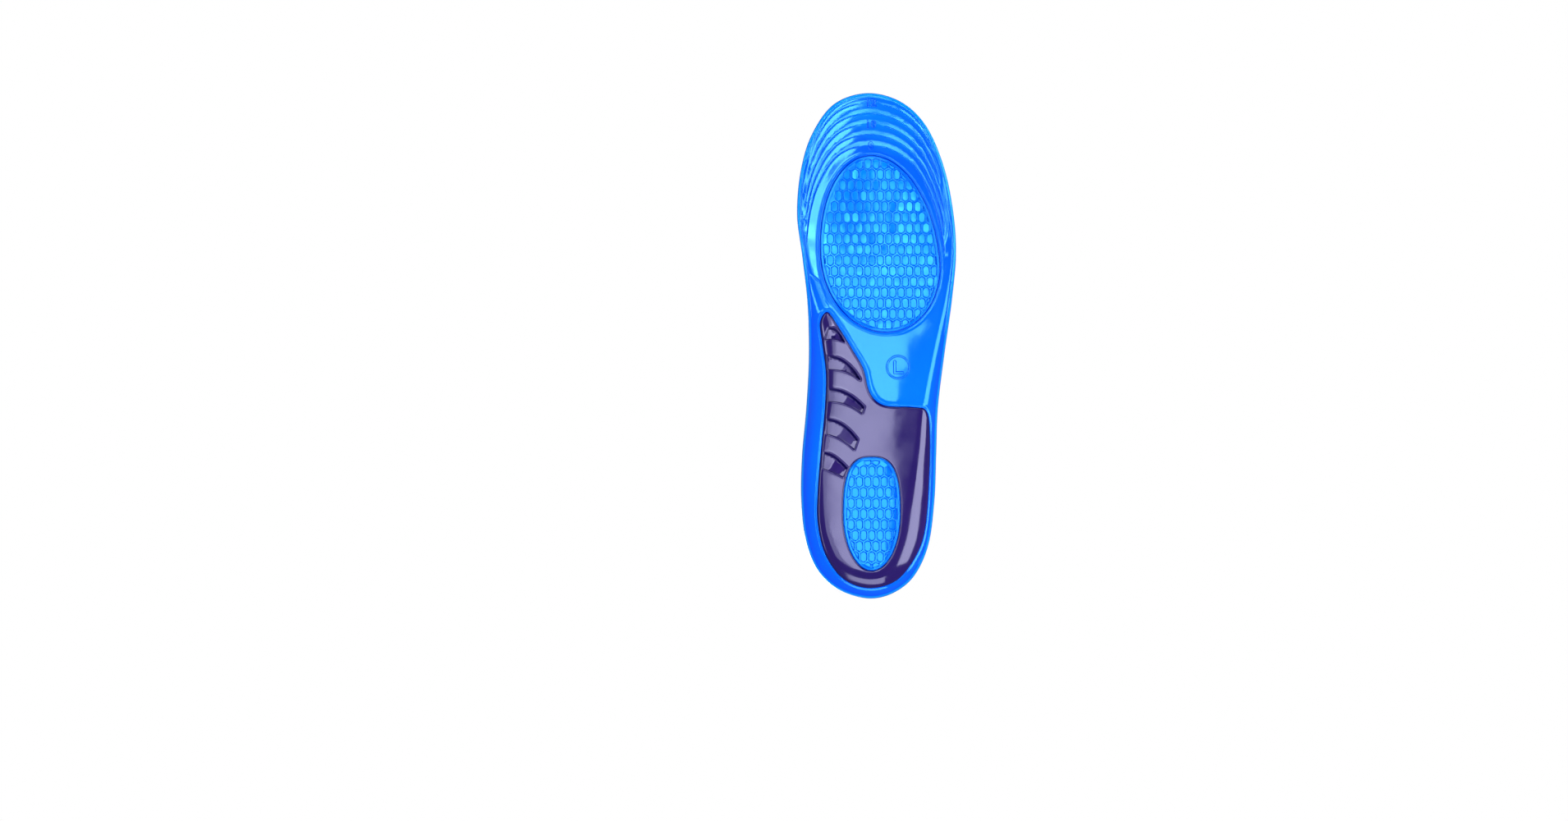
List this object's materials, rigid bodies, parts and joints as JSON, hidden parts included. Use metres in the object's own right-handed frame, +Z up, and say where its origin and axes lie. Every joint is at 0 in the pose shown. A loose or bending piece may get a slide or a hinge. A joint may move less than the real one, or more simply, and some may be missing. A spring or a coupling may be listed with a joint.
{
  "type": "cushioned insole",
  "caption": "Full-length gel insole for a left shoe, with a velour top, a firmer support under heel and arch, and honeycomb pads under heel and forefoot.",
  "frame": {"origin": "middle of the outline's box, on the flat underside that lies on the shoe's floor", "axes": "+Z up to the foot, +Y to the toe, +X to the inner side of the left foot, where the arch is"},
  "size_m": [0.0928, 0.295, 0.0171],
  "materials": {
    "velour": "fine cream velour with a short soft nap",
    "film": "thin translucent film",
    "blue_gel": "glossy translucent azure gel",
    "soft_gel": "glossy translucent lighter blue gel",
    "indigo_gel": "glossy dark indigo gel"
  },
  "bodies": {
    "root": {"top_cover": "velour", "barrier_film": "film", "gel_body": "blue_gel", "forefoot_pad": "soft_gel", "arch_heel_support": "indigo_gel", "heel_pad": "soft_gel"}
  },
  "joints": []
}
